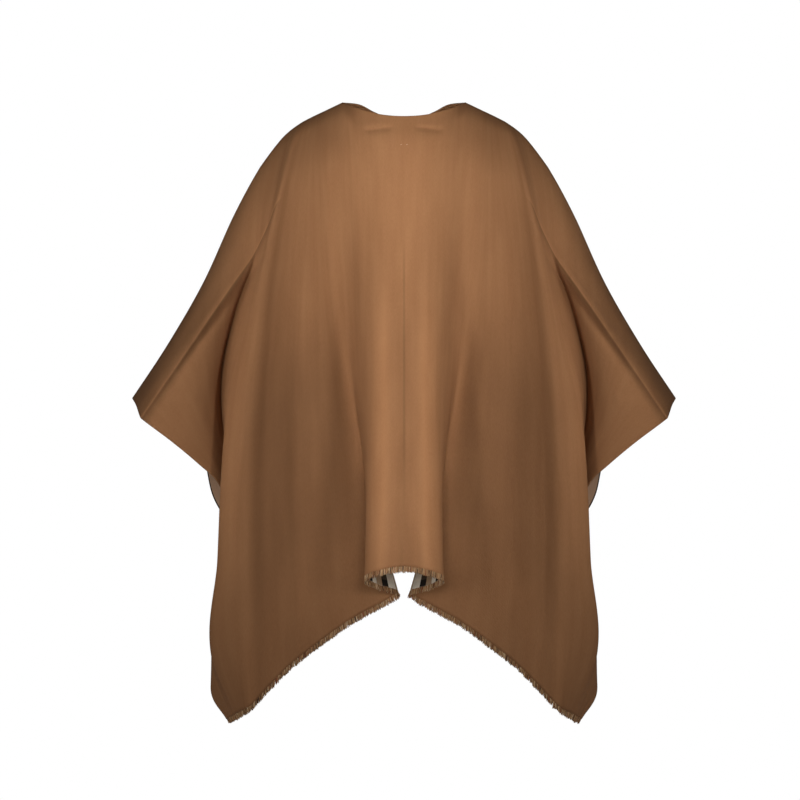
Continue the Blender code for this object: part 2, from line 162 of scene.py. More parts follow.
# Small creases, laid on the cloth from one place to another as they are seen square on.  "width" is the
# half-width, "depth" how far the cloth moves outwards there, and "sharp" 1 for a pressed line, 0 for a roll.
Crease = namedtuple("Crease", "out_a down_a out_b down_b width depth sharp side")
BACK_CREASES = (
    Crease(0.0, 20.0, 0.0, 84.0, 0.4, -0.32, 0.9, "both"),  # pressed down the middle
    Crease(1.6, 4.7, 6.8, 5.2, 0.36, -0.46, 0.6, "both"),  # under the neck edge
    Crease(7.6, 1.9, 12.6, 4.6, 0.9, 0.10, 0.0, "both"),
    Crease(22.0, 23.0, 45.6, 53.6, 0.9, 0.50, 0.0, "both"),  # the roll beside the sleeve crease
    Crease(20.6, 22.6, 45.6, 57.0, 0.7, -0.60, 0.5, "both"),  # the tuck under it
    Crease(21.4, 18.6, 25.4, 29.0, 0.45, -0.30, 0.5, "both"),  # where the body fold leaves the shoulder
    Crease(34.9, 36.4, 33.6, 41.2, 0.8, -0.30, 0.3, "left"),  # short ones near the cuff
    Crease(38.6, 42.4, 37.0, 46.0, 0.7, -0.30, 0.3, "left"),
    Crease(37.0, 48.0, 33.0, 48.8, 0.7, 0.26, 0.2, "left"),
    Crease(34.6, 36.0, 33.8, 40.6, 0.8, -0.26, 0.3, "right"),
    Crease(38.2, 42.0, 37.2, 46.2, 0.7, -0.28, 0.3, "right"),
    Crease(37.2, 48.6, 33.6, 49.0, 0.7, 0.22, 0.2, "right"),
)
FRONT_CREASES = (
    Crease(24.0, 24.0, 43.4, 51.0, 1.5, 0.34, 0.0, "both"),
    Crease(34.0, 40.0, 38.6, 47.0, 0.9, -0.16, 0.2, "both"),
    Crease(7.6, 2.4, 12.6, 5.0, 0.9, 0.10, 0.0, "both"),
)

CREASE_FADE = 0.25  # share of a small crease's length over which each end fades

CELL_ACROSS = 4.6 * MM
BACK_ROWS = 152
FRONT_ROWS = 140
ROW_CROWDING = 1.35  # rows crowd towards the shoulder line, where the cloth turns fastest
TOP_ROWS = 1.25  # rows above the sleeve crease, against the number that even spacing gives

# Sines that leave the cloth uneven: "across" and "down" are their lengths in metres of cloth, and
# "height" is in centimetres.
Wave = namedtuple("Wave", "across down height")
UNEVEN = (
    Wave(0.21, 0.62, 0.10),
    Wave(0.092, 0.44, 0.055),
    Wave(0.047, 0.31, 0.022),
)
UNEVEN_FROM = 0.25  # metres of cloth below the shoulder line over which they grow
UNEVEN_ASIDE = 0.03  # and from the middle of the back

FRINGE_LENGTH = 10.0 * MM
FRINGE_PITCH = 0.5 * MM
FRINGE_INSIDE = 1.0 * MM  # how far each thread starts inside the cloth
FRINGE_MARGIN = 0.0003  # and how far it stays from the ends of the hem
THREAD_RADIUS = 0.6 * MM
THREAD_RINGS = (0.0, 0.3, 0.6, 0.85, 1.0)  # shares of a thread's length
THREAD_TAPER = (1.0, 1.05, 1.0, 0.9, 0.45)  # and its thickness there
THREAD_SIDES = 4
TUFT_THREADS = (4, 12)  # from the first number of threads to just under the second
GATHER = (0.3, 0.9)  # share of the way to the middle of its tuft that a thread's tip moves
LEAN_TUFT, LEAN_THREAD = 0.7, 0.4  # spread of the lean along the hem, in millimetres
LIFT_TUFT, LIFT_THREAD = 0.9, 0.6  # and of the lift off the cloth
REACH_TUFT = (0.86, 1.06)  # shares of the fringe's length
REACH_THREAD = (0.82, 1.05)  # and shares of that
ROOT_SPREAD = 0.45  # share of the wall over which the threads start, each way from its middle

BAR_STRANDS = 3
BAR_TURNS = 3.0
BAR_RADIUS = 0.8 * MM  # from the bar's middle to the middle of a strand
BAR_STRAND = 0.62  # a strand's radius, as a share of that
BAR_RINGS = 28
BAR_ENDS = 0.04  # share of the length over which the strands are held together

NECK_STITCHES = ((-0.6, 7.7), (0.6, 7.7))  # out and down of two stitches under the neck edge
STITCH_REACH = 1.3 * MM  # half the length of a stitch
STITCH_BOW = 0.35 * MM
STITCH_RADIUS = 0.42 * MM
STITCH_RINGS = 7
SEWING_SIDES = 6  # of the tubes of bars and stitches

NECK_CLOTH = 0.17  # metres of a front's cloth that run along the neck edge
NECK_ROLL = 0.025  # and of cloth below it that shows the face colour on the reverse
SELVEDGE_BORDER = 0.055  # the reverse is plain from here to the selvedge
SELVEDGE_EDGE = 0.005  # and dark along the last few threads
TWILL_SLANT = 0.7  # how far the twill's ribs go across for each metre down
RIB_HEIGHT = 0.18  # of the ribs, where the nap's is 1
BUMP_DEPTH = 0.0006
NAP_SHARE, CLOUD_SHARE = 0.35, 0.65  # of the noise that picks the tone
NOISE_RANGE = (0.36, 0.64)  # what that noise is spread from, to go from the dark tone to the light one
CHECK_FADE = (0.82, 1.12)  # how much it darkens and lightens the check
CAMEL_DARK = (0.250, 0.113, 0.048, 1)
CAMEL_LIGHT = (0.315, 0.151, 0.067, 1)
EDGE_DARK = (0.15, 0.078, 0.036, 1)
EDGE_LIGHT = (0.21, 0.115, 0.055, 1)
CHECK_GROUND = (0.44, 0.29, 0.175, 1)
CHARCOAL = (0.016, 0.012, 0.010, 1)
CREAM = (0.82, 0.73, 0.60, 1)
BORDER_GROUND = (0.40, 0.245, 0.155, 1)
BORDER_EDGE = (0.05, 0.032, 0.022, 1)
SEWING_THREAD = (0.34, 0.22, 0.12, 1)
PALE_THREAD = (0.52, 0.36, 0.22, 1)

FLOOR_RADIUS = 1.5
FLOOR_DOWN = 1.42
FLOOR_SIDES = 96
ROOM_LIGHT = (0.10, 1.0)  # the world's strength on the cape, and to the camera

CAMERA_FAR = 5.0
CAMERA_ACROSS = 1.32  # what the camera sees from side to side at the cape
CAMERA_AIM = (-0.0066, 0.0, -0.49)
SENSOR = 36.0


# ---------------------------------------------------------------- the shape of the cloth


def hermite(knots, values, interval, share, crisp=0.0, start=None):
    """A cubic through values[k] at knots[k], read at a share of the way along each chosen interval.

    The slope at a knot is the mean of the chords beside it, each weighted by the other's length, and a
    crisp knot keeps each chord's own slope on its own side.  start, if given, is the slope at the first.
    """
    gap = np.diff(knots, axis=0)[..., None]
    chord = np.diff(values, axis=0) / gap
    mean = (chord[:-1] * gap[1:] + chord[1:] * gap[:-1]) / (gap[1:] + gap[:-1])
    soft = np.concatenate([chord[:1] if start is None else start[None], mean, chord[-1:]])
    crisp = np.broadcast_to(crisp, values.shape[:-1])[..., None]
    leave = soft[:-1] + crisp[:-1] * (chord - soft[:-1])
    reach = soft[1:] + crisp[1:] * (chord - soft[1:])
    if start is not None:
        leave[0] = start
    s = share.reshape((-1,) + (1,) * (values.ndim - 1))
    width = gap[interval]
    return (
        (1 + 2 * s) * (1 - s) ** 2 * values[interval]
        + s * (1 - s) ** 2 * width * leave[interval]
        + s**2 * (3 - 2 * s) * values[interval + 1]
        + s**2 * (s - 1) * width * reach[interval]
    )


def interval_of(knots, at):
    """Which interval each value lies in, and its share of the way along it."""
    interval = np.clip(np.searchsorted(knots, at, side="right") - 1, 0, len(knots) - 2)
    share = (at - knots[interval]) / (knots[interval + 1] - knots[interval])
    return interval, share


def along_curve(knots, values, at, crisp=0.0, start=None):
    """The hermite cubic, read at any places."""
    knots = np.asarray(knots, float)
    interval, share = interval_of(knots, at)
    return hermite(knots, np.asarray(values, float), interval, share, crisp, start)


def rising_curve(knots, values, at):
    """A cubic that never overshoots: its slope at a knot is the harmonic mean of the chords beside it."""
    knots = np.asarray(knots, float)
    values = np.asarray(values, float)
    chord = np.diff(values) / np.diff(knots)
    both = chord[:-1] * chord[1:]
    inner = np.where(both > 0, 2 * both / np.where(both > 0, chord[:-1] + chord[1:], 1.0), 0.0)
    slope = np.concatenate([chord[:1], inner, chord[-1:]])
    i, s = interval_of(knots, at)
    width = knots[i + 1] - knots[i]
    return (
        (1 + 2 * s) * (1 - s) ** 2 * values[i]
        + s * (1 - s) ** 2 * width * slope[i]
        + s**2 * (3 - 2 * s) * values[i + 1]
        + s**2 * (s - 1) * width * slope[i + 1]
    )


def shoulder_down(out):
    """How far down the shoulder line is at a distance out."""
    line = np.array(SHOULDER_LINE)
    return rising_curve(line[:, 0], line[:, 1], np.asarray(out, float))


def top_of_fold(panel, out):
    """(out, deep, down) where a fold starts, on the neck edge or on the shoulder line."""
    seam = SEAM / CM / 2
    if out >= NECK_HALF_WIDTH:
        return out, seam, float(shoulder_down(out))
    if panel is BACK:
        share = out / NECK_HALF_WIDTH
        return out, max(seam, NECK_DEEP * (1 - share**2) ** 0.5), NECK_DROP * (1 - share**NECK_ROUNDNESS)
    edge = np.array(FRONT_NECK[::-1])
    deep, down = along_curve(edge[:, 0], edge[:, 1:], np.array([out]))[0]
    return out, float(deep), float(down)


def hanging(t, rounding):
    """Share of the drop at a share t of the cloth: level at the shoulder line, then steady."""
    return (1 + rounding) * t**2 / (t + rounding + 1e-9)


def body_line(panel, fold, t):
    """Points down one body fold: out is a parabola through its three values, deep a rising curve."""
    out, deep, down = top_of_fold(panel, fold.out_top)
    rise = fold.out_waist - fold.out_top
    run = fold.out_hem - fold.out_top
    bend = 2 * (run - 2 * rise)
    over_shoulder = fold.out_top >= NECK_HALF_WIDTH
    drop = hanging(t, SHOULDER_ROUND) if over_shoulder else t
    bent = deep + BEND_SHARE * (fold.deep_blade - deep)
    depths = [deep, bent, fold.deep_blade, fold.deep_waist, fold.deep_hem]
    return np.stack(
        [
            out + (run - bend) * t + bend * t**2,
            rising_curve([0, BEND, BLADE, WAIST, 1], depths, t),
            down + (fold.down_hem - down) * drop,
        ],
        axis=-1,
    )


def side_lines(panel, t):
    """Points down the contour, the valley, the lines of the sleeve and the selvedge."""
    levels = panel.sides
    cloth = np.array([level.cloth for level in levels])
    length = cloth[-1]
    knots = cloth / length

    def points(name):
        first = top_of_fold(panel, getattr(levels[0], name)[0])
        return np.array([first] + [getattr(level, name) for level in levels[1:]])

    contour, valley, selvedge = points("contour"), points("valley"), points("selvedge")
    belly = np.array([level.belly for level in levels])
    level_start = np.array([0.0, TURN_SPEED * length, 0.0])
    at_crease = np.array([level.name == "crease" for level in levels])
    at_tack = np.array([level.name == "tack" for level in levels])
    lines = [along_curve(knots, contour, t, start=level_start)]
    for share, crisp in zip((0.0,) + SLEEVE_SHARES + (1.0,), CREASE_CRISP):
        line = valley + share * (selvedge - valley)
        line[:, 1] += belly * 4 * share * (1 - share)
        out = valley[0, 0] + share * (selvedge[0, 0] - valley[0, 0])
        line[0] = top_of_fold(panel, out)
        lines.append(along_curve(knots, line, t, crisp * at_crease + TACK_CRISP * at_tack, level_start))
    return lines


def surface(panel, t):
    """The panel's surface as (columns, rows, (out, deep, down)), in centimetres, at shares t of its length.

    Across the folds the curve is spaced by the square root of the distance between them, so that tight
    folds don't loop.  Each gap between folds gets columns about a cell apart.
    """
    lines = np.array([body_line(panel, fold, t) for fold in panel.folds] + side_lines(panel, t))
    gaps = np.linalg.norm(np.diff(lines, axis=0), axis=-1)
    columns = np.maximum(3, np.ceil(gaps.mean(axis=1) * CM / CELL_ACROSS)).astype(int)
    knots = np.concatenate([np.zeros((1, len(t))), np.cumsum(gaps**0.5, axis=0)])
    interval = np.append(np.repeat(np.arange(len(columns)), columns), len(columns) - 1)
    share = np.append(np.concatenate([np.arange(n) / n for n in columns]), 1.0)
    crisp = np.zeros(lines.shape[:2])
    crisp[: len(panel.folds)] = np.array([fold.crisp for fold in panel.folds])[:, None] * t**2
    crisp[len(panel.folds) + 1] = VALLEY_CRISP
    neck = [fold.out_top for fold in panel.folds].index(NECK_HALF_WIDTH)
    crisp[neck] = np.maximum(crisp[neck], NECK_CRISP * (1 - t) ** NECK_CRISP_FADE)
    start = None
    if panel is BACK:
        start = (lines[1] - lines[0]) / knots[1][:, None]
        start[:, 1:] = 0.0
    return hermite(knots, lines, interval, share, crisp, start)


def rows_down(panel, count):
    """Shares of the cloth's length at which the rows lie, crowded at the top, one on the sleeve crease."""
    crease = [level.cloth for level in panel.sides if level.name == "crease"][0] / panel.sides[-1].cloth
    above = int(round(count * crease * TOP_ROWS))
    upper = crease * np.linspace(0, 1, above + 1) ** ROW_CROWDING
    return np.concatenate([upper[:-1], np.linspace(crease, 1, count - above + 1)])


def lay_creases(net, creases, side):
    """Moves the cloth outwards by each crease's depth times a bell of the distance from its line.

    The bell is exp(-(d/width)^2) for a roll and exp(-d/width) for a pressed line, faded out at both ends
    by a smooth step.
    """
    for crease in creases:
        if crease.side not in ("both", side):
            continue
        a = np.array([crease.out_a, crease.down_a])
        b = np.array([crease.out_b, crease.down_b])
        way = (b - a) / np.linalg.norm(b - a)
        place = net[..., [0, 2]] - a
        along = place @ way / np.linalg.norm(b - a)
        off = np.abs(place @ np.array([-way[1], way[0]])) / crease.width
        bell = crease.sharp * np.exp(-off) + (1 - crease.sharp) * np.exp(-(off**2))
        fade = smooth_step(np.clip(np.minimum(along, 1 - along) / CREASE_FADE, 0, 1))
        net[..., 1] += crease.depth * bell * fade


def smooth_step(x):
    """3 x^2 - 2 x^3, which leaves 0 and reaches 1 with no slope."""
    return x * x * (3 - 2 * x)


def soft_waves(u, v, seed, waves):
    """A sum of slanted sines over the cloth with random phases, which grow below the shoulder line.

    Each is sin(2 pi (u / across + lean v / down)), and its height varies with sin(2 pi v / down).
    """
    rng = np.random.default_rng(seed)
    total = np.zeros_like(u)
    for across, down, height in waves:
        turn_a, turn_b, lean = rng.uniform(0, 2 * np.pi, 3)
        total += height * np.sin(2 * np.pi * (u / across + 0.4 * math.sin(lean) * v / down) + turn_a) * (
            0.6 + 0.4 * np.sin(2 * np.pi * v / down + turn_b)
        )
    return total * smooth_step(np.clip(v / UNEVEN_FROM, 0, 1))


def cloth_coordinates(net, t, length):
    """(u, v) of each point in metres of flat cloth.

    u is the mean length along the rows, scaled so that the selvedge lies at the cut's half width, and v
    is the row's share of the cut's length.
    """
    step = np.linalg.norm(np.diff(net, axis=0), axis=-1).mean(axis=1)
    across = np.concatenate([[0.0], np.cumsum(step)])
    across *= HALF_WIDTH / across[-1]
    return np.broadcast_arrays(across[:, None], t[None, :] * length)


# ---------------------------------------------------------------- meshes


def mesh_of(name, points, faces):
    """A smooth mesh from (N, 3) points and (M, k) faces."""
    mesh = bpy.data.meshes.new(name)
    count, corners = faces.shape
    mesh.vertices.add(len(points))
    mesh.vertices.foreach_set("co", np.ascontiguousarray(points, dtype=np.float32).ravel())
    mesh.loops.add(count * corners)
    mesh.loops.foreach_set("vertex_index", faces.ravel().astype(np.int32))
    mesh.polygons.add(count)
    mesh.polygons.foreach_set("loop_start", np.arange(0, count * corners, corners, dtype=np.int32))
    mesh.polygons.foreach_set("use_smooth", np.full(count, True))
    mesh.update(calc_edges=True)
    mesh.validate()
    return mesh


def grid_faces(columns, rows, flip=False):
    """Quads of a grid whose points are numbered row by row within each column."""
    index = np.arange(columns * rows).reshape(columns, rows)
    quads = np.stack([index[:-1, :-1], index[1:, :-1], index[1:, 1:], index[:-1, 1:]], axis=-1).reshape(-1, 4)
    return quads[:, ::-1] if flip else quads


def tube_faces(count, rings, sides):
    """Quads of tubes numbered one after another, ring by ring, with both ends of each closed.

    The number of sides is even, so a fan of quads from the first corner fills a ring.
    """
    first = (np.arange(count) * rings * sides)[:, None, None]
    here = first + (np.arange(rings - 1) * sides)[None, :, None]
    k = np.arange(sides)[None, None, :]
    beside = (k + 1) % sides
    walls = np.stack([here + k, here + beside, here + sides + beside, here + sides + k], axis=-1)
    fan = np.array([(0, i, i + 1, i + 2) for i in range(1, sides - 2, 2)])
    ends = first + (rings - 1) * sides + fan
    starts = first + fan[:, ::-1]
    return np.concatenate([walls.reshape(-1, 4), ends.reshape(-1, 4), starts.reshape(-1, 4)])


def uv_layer(mesh, name, coordinates):
    """A UV map from one (u, v) for each vertex."""
    corner = np.empty(len(mesh.loops), dtype=np.int32)
    mesh.loops.foreach_get("vertex_index", corner)
    layer = mesh.uv_layers.new(name=name)
    layer.data.foreach_set("uv", coordinates[corner].astype(np.float32).ravel())


def piece_of(name, mesh, slot, *looks):
    """An object that rides on the cape, with the given looks as its materials; slot is not used."""
    piece = bpy.data.objects.new(name, mesh)
    bpy.context.scene.collection.objects.link(piece)
    for look in looks:
        mesh.materials.append(look)
    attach(piece, "root")
    return piece


def cloth_piece(name, points, coordinates, flip, looks):
    """A grid of (columns, rows, xyz) made a wall: the face outwards, the reverse inwards."""
    mesh = mesh_of(name, points.reshape(-1, 3), grid_faces(*points.shape[:2], flip))
    uv_layer(mesh, "cloth", coordinates.reshape(-1, 2))
    piece = piece_of(name, mesh, "camel_wool", *looks)
    wall = piece.modifiers.new("wall", "SOLIDIFY")
    wall.thickness = WALL
    wall.offset = 0.0
    wall.material_offset = 1
    wall.material_offset_rim = 2
    return piece


# ---------------------------------------------------------------- fringe, bars and stitches


def fringe_threads(edge, way, out, seed):
    """Loose threads along a cut edge, as (threads, rings, sides, xyz) points and a tone for each thread.

    edge, way and out are (N, 3): the edge's points, the way the cloth hangs there, and its outward normal.
    Threads leave the edge a pitch apart.  They gather towards the middle of their tuft with the 1.6th power
    of the distance and lift with its square, and each is a tapered tube.
    """
    rng = np.random.default_rng(seed)
    travel = np.concatenate([[0.0], np.cumsum(np.linalg.norm(np.diff(edge, axis=0), axis=1))])
    count = int(travel[-1] / FRINGE_PITCH)
    place = (np.arange(count) + rng.uniform(0.1, 0.9, count)) * FRINGE_PITCH
    place = np.clip(place, FRINGE_MARGIN, travel[-1] - FRINGE_MARGIN)

    def at_threads(values):
        return np.stack([np.interp(place, travel, values[:, k]) for k in range(3)], axis=-1)

    root, fall, face = at_threads(edge), at_threads(way), at_threads(out)
    fall /= np.linalg.norm(fall, axis=1, keepdims=True)
    side = np.cross(face, fall)
    side /= np.linalg.norm(side, axis=1, keepdims=True)
    face = np.cross(fall, side)

    tuft_ends = np.cumsum(rng.integers(*TUFT_THREADS, count))
    tuft = np.searchsorted(tuft_ends, np.arange(count), side="right")
    tufts = tuft.max() + 1
    middle = np.bincount(tuft, place) / np.maximum(np.bincount(tuft), 1)
    gather = (middle[tuft] - place) * rng.uniform(*GATHER, count)
    lean = rng.normal(0, LEAN_TUFT, tufts)[tuft] * MM + rng.normal(0, LEAN_THREAD, count) * MM
    lift = rng.normal(0, LIFT_TUFT, tufts)[tuft] * MM + rng.normal(0, LIFT_THREAD, count) * MM
    reach = FRINGE_LENGTH * rng.uniform(*REACH_TUFT, tufts)[tuft] * rng.uniform(*REACH_THREAD, count)
    start = rng.uniform(-ROOT_SPREAD, ROOT_SPREAD, count) * WALL

    s = np.array(THREAD_RINGS)[None, :, None]
    spine = (
        root[:, None]
        + fall[:, None] * (-FRINGE_INSIDE + (reach[:, None, None] + FRINGE_INSIDE) * s)
        + side[:, None] * (gather + lean)[:, None, None] * s**1.6
        + face[:, None] * (start[:, None, None] + lift[:, None, None] * s**2)
    )
    angle = np.arange(THREAD_SIDES) * 2 * np.pi / THREAD_SIDES
    ring = (
        np.cos(angle)[None, None, :, None] * side[:, None, None]
        + np.sin(angle)[None, None, :, None] * face[:, None, None]
    )
    radius = THREAD_RADIUS * np.array(THREAD_TAPER)
    points = spine[:, :, None] + ring * radius[None, :, None, None]
    return points, rng.uniform(0, 1, count)


def fringe_piece(name, points, outward, seed, look):
    """The fringe of a panel whose points are (columns, rows, xyz), along its last row."""
    edge = points[:, -1]
    way = points[:, -1] - points[:, -3]
    way = way / np.linalg.norm(way, axis=1, keepdims=True)
    along = np.gradient(edge, axis=0)
    out = np.cross(along, way) * outward
    out = out / np.linalg.norm(out, axis=1, keepdims=True)
    threads, tone = fringe_threads(edge, way, out, seed)
    mesh = mesh_of(name, threads.reshape(-1, 3), tube_faces(*threads.shape[:3]))
    values = mesh.attributes.new("thread_tone", "FLOAT", "POINT")
    corners = threads.shape[1] * threads.shape[2]
    values.data.foreach_set("value", np.repeat(tone, corners).astype(np.float32))
    return piece_of(name, mesh, "wool_threads", look)


def twisted_bar(name, start, end, look):
    """A thread bar: strands wound round a straight line, each a tube whose middle turns about the line.

    A strand's middle is BAR_RADIUS * sin(pi s)^0.3 from the line at a share s of the way along it.
    """
    line = end - start
    axis = line / np.linalg.norm(line)
    aside = np.cross(axis, [1.0, 0.0, 0.0])
    aside /= np.linalg.norm(aside)
    third = np.cross(axis, aside)
    s = np.linspace(0, 1, BAR_RINGS)
    spread = BAR_RADIUS * np.sin(np.pi * np.clip(s, BAR_ENDS, 1 - BAR_ENDS)) ** 0.3
    ring = np.arange(SEWING_SIDES) * 2 * np.pi / SEWING_SIDES
    around = np.cos(ring)[None, :, None] * aside + np.sin(ring)[None, :, None] * third
    strands = []
    for strand in range(BAR_STRANDS):
        turn = 2 * np.pi * (BAR_TURNS * s + strand / BAR_STRANDS)
        winding = np.cos(turn)[:, None] * aside + np.sin(turn)[:, None] * third
        middle = start + line * s[:, None] + spread[:, None] * winding
        strands.append(middle[:, None] + BAR_STRAND * BAR_RADIUS * around)
    points = np.array(strands).reshape(-1, 3)
    mesh = mesh_of(name, points, tube_faces(BAR_STRANDS, BAR_RINGS, SEWING_SIDES))
    return piece_of(name, mesh, "wool_threads", look)


def small_stitches(name, cloth, places, look):
    """Short stitches lying across the outer face, each a bowed tube that narrows to its ends.

    The bow goes with 1 - x^2 and the square of the radius with 1.02 - x^2, where x runs from -1 to 1
    along the stitch.
    """
    turn = np.arange(SEWING_SIDES) * 2 * np.pi / SEWING_SIDES
    ring = np.stack([turn * 0, np.cos(turn), np.sin(turn)], axis=-1)
    x = np.linspace(-1, 1, STITCH_RINGS)
    bowed = np.stack([x * STITCH_REACH, -STITCH_BOW * (1 - x**2), x * 0], axis=-1)
    wide = STITCH_RADIUS * np.sqrt(1.02 - x**2)
    stitches = []
    for out, down in places:
        gap = np.linalg.norm(cloth[..., [0, 2]] - (out * CM, -down * CM), axis=-1)
        spot = cloth[np.unravel_index(np.argmin(gap), gap.shape)] - (0.0, WALL / 2, 0.0)
        stitches.append((spot + bowed)[:, None] + wide[:, None, None] * ring)
    points = np.array(stitches).reshape(-1, 3)
    mesh = mesh_of(name, points, tube_faces(len(places), STITCH_RINGS, SEWING_SIDES))
    return piece_of(name, mesh, "wool_threads", look)


# ---------------------------------------------------------------- materials


def new_group(name, inputs, outputs):
    """An empty shader node group with inputs (name, type, default) and outputs (name, type)."""
    group = bpy.data.node_groups.new(name, "ShaderNodeTree")
    for label, kind, default in inputs:
        socket = group.interface.new_socket(label, in_out="INPUT", socket_type=kind)
        socket.default_value = default
    for label, kind in outputs:
        group.interface.new_socket(label, in_out="OUTPUT", socket_type=kind)
    return group, group.nodes.new("NodeGroupInput"), group.nodes.new("NodeGroupOutput")


def new_look(name, settings):
    """A material whose Principled sockets have the given values, with its node tree and that node."""
    look = bpy.data.materials.new(name)
    look.use_nodes = True
    shader = look.node_tree.nodes["Principled BSDF"]
    for socket, value in settings.items():
        shader.inputs[socket].default_value = value
    return look, look.node_tree, shader


def node(tree, kind, **settings):
    """A new node with its properties set."""
    made = tree.nodes.new(kind)
    for key, value in settings.items():
        setattr(made, key, value)
    return made


def calc(tree, operation, *values):
    """A Math node; numbers are set on its sockets and sockets are linked."""
    made = node(tree, "ShaderNodeMath", operation=operation)
    for socket, value in zip(made.inputs, values):
        if isinstance(value, (int, float)):
            socket.default_value = value
        else:
            tree.links.new(value, socket)
    return made.outputs[0]


def axes_of(tree, vector):
    """The first two parts of a vector: u and v of the cloth."""
    split = node(tree, "ShaderNodeSeparateXYZ")
    tree.links.new(vector, split.inputs[0])
    return split.outputs[0], split.outputs[1]


def map_range(tree, value, given=(0.0, 1.0), made=(0.0, 1.0)):
    """A Map Range node: the given range of a value, drawn onto the made one and held at its ends."""
    spread = node(tree, "ShaderNodeMapRange")
    for label, number in zip(("From Min", "From Max", "To Min", "To Max"), given + made):
        spread.inputs[label].default_value = number
    tree.links.new(value, spread.inputs["Value"])
    return spread.outputs[0]


def ramp_of(tree, value, interpolation, stops):
    """A colour ramp over a value from 0 to 1, with a (place, colour) for each stop."""
    ramp = node(tree, "ShaderNodeValToRGB")
    ramp.color_ramp.interpolation = interpolation
    elements = ramp.color_ramp.elements
    while len(elements) < len(stops):
        elements.new(0.5)
    for element, (place, colour) in zip(elements, stops):
        element.position = place
        element.color = colour
    tree.links.new(value, ramp.inputs[0])
    return ramp.outputs[0]


def blend_colours(tree, factor, one, two, how="MIX"):
    """A colour Mix node; each of its values is a number, a colour or a socket."""
    made = node(tree, "ShaderNodeMix", data_type="RGBA", blend_type=how)
    for socket, value in ((made.inputs[0], factor), (made.inputs[6], one), (made.inputs[7], two)):
        if isinstance(value, bpy.types.NodeSocket):
            tree.links.new(value, socket)
        else:
            socket.default_value = value
    return made.outputs[2]


def brushed_wool_group():
    """Brushed twill on cloth coordinates in metres: a height, and masks for the nap and the cloudy tone."""
    group, given, made = new_group(
        "brushed_twill",
        [("Cloth", "NodeSocketVector", (0, 0, 0)), ("Twill pitch", "NodeSocketFloat", 0.0016)],
        [("Height", "NodeSocketFloat"), ("Nap", "NodeSocketFloat"), ("Cloud", "NodeSocketFloat")],
    )
    link = group.links.new
    u, v = axes_of(group, given.outputs["Cloth"])
    slanted = calc(group, "ADD", u, calc(group, "MULTIPLY", v, TWILL_SLANT))
    turns = calc(group, "DIVIDE", slanted, given.outputs["Twill pitch"])
    rib = calc(group, "SINE", calc(group, "MULTIPLY", turns, 2 * math.pi))

    def streaks(across, along, detail):
        """Noise with so many streaks to a metre across and along the cloth."""
        place = node(group, "ShaderNodeMapping")
        link(given.outputs["Cloth"], place.inputs["Vector"])
        place.inputs["Scale"].default_value = (across, along, 1.0)
        noise = node(group, "ShaderNodeTexNoise")
        link(place.outputs[0], noise.inputs["Vector"])
        noise.inputs["Scale"].default_value = 1.0
        noise.inputs["Detail"].default_value = detail
        noise.inputs["Roughness"].default_value = 0.6
        return noise.outputs["Fac"]

    nap = streaks(900.0, 170.0, 3.0)
    fall = calc(group, "MULTIPLY", streaks(55.0, 5.0, 3.0), 0.5)
    cloud = calc(group, "MULTIPLY", streaks(16.0, 7.0, 4.0), 0.5)
    link(calc(group, "ADD", calc(group, "MULTIPLY", rib, RIB_HEIGHT), nap), made.inputs["Height"])
    link(nap, made.inputs["Nap"])
    link(calc(group, "ADD", fall, cloud), made.inputs["Cloud"])
    return group


